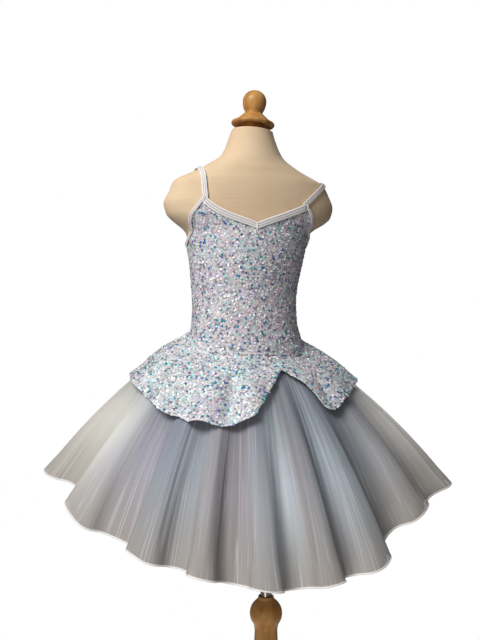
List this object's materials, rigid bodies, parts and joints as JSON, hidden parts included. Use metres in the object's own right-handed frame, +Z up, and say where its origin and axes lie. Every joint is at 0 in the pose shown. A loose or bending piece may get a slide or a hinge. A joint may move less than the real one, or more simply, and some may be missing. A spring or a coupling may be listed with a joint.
{
  "type": "sequin tutu dress on a dress form",
  "caption": "Child's camisole dance dress with sequined bodice, petal peplum and layered tulle skirt, on a limbless dress form with a turned wood stand.",
  "frame": {"origin": "centre of the stand base's underside, on the pole's axis", "axes": "+Z up, the front of the dress faces -Y, and the wearer's left is +X"},
  "size_m": [0.7342, 0.63, 1.2747],
  "materials": {
    "sequin_cloth": "iridescent white and lilac sequins sewn on stretch net",
    "tulle": "soft sheer nylon tulle",
    "trim": "white elastic binding and corded hem",
    "linen": "cream linen cover, smooth over the form",
    "wood": "honey-coloured varnished wood",
    "steel": "drawn steel tube"
  },
  "bodies": {
    "root": {"stand_base": "wood", "stand_column": "wood", "stand_pole": "steel", "form_torso": "linen", "neck_cap": "wood", "cap_knob": "wood", "bodice_front": "sequin_cloth", "bodice_back": "sequin_cloth", "neck_binding_front": "trim", "neck_binding_back": "trim", "armhole_binding_front_right": "trim", "armhole_binding_front_left": "trim", "armhole_binding_back_left": "trim", "armhole_binding_back_right": "trim", "strap_right": "trim", "strap_left": "trim", "peplum_petal_right": "sequin_cloth", "peplum_petal_left": "sequin_cloth", "tulle_top": "tulle", "tulle_top_hem": "trim", "tulle_middle": "tulle", "tulle_middle_hem": "trim", "tulle_under": "tulle"}
  },
  "joints": []
}
